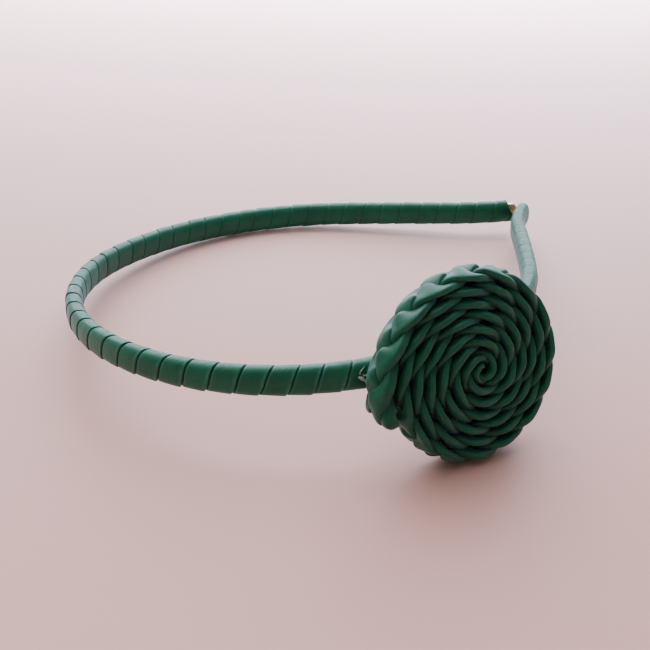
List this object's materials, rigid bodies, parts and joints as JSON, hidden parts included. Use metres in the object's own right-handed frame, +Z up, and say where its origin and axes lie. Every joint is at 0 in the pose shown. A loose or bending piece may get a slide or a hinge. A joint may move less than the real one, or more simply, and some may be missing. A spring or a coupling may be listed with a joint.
{
  "type": "headband with braided rosette",
  "caption": "Springy side-lying headband wound with a leather-like strip, with a flat rosette coiled from a plaited braid glued to its side.",
  "frame": {"origin": "on the surface the headband lies on, below the middle of its outer box", "axes": "+Z up from the surface; +Y from the crown of the band to its open tips, along its longest side; +X towards the side with the rosette"},
  "size_m": [0.1212, 0.1504, 0.0411],
  "materials": {
    "core_metal": "bare metal strip, cut and rounded, with a soft shine",
    "wrap_leather": "matt dark green leather-like strip with a fine grain",
    "braid_leather": "matt dark green soft strip, padded, with a faint sheen",
    "glue": "set clear glue, glossy and slightly milky"
  },
  "bodies": {
    "root": {"core_band": "core_metal", "wrap": "wrap_leather", "braid_strand_1": "braid_leather", "braid_strand_2": "braid_leather", "braid_strand_3": "braid_leather", "glue_bead": "glue"}
  },
  "joints": []
}
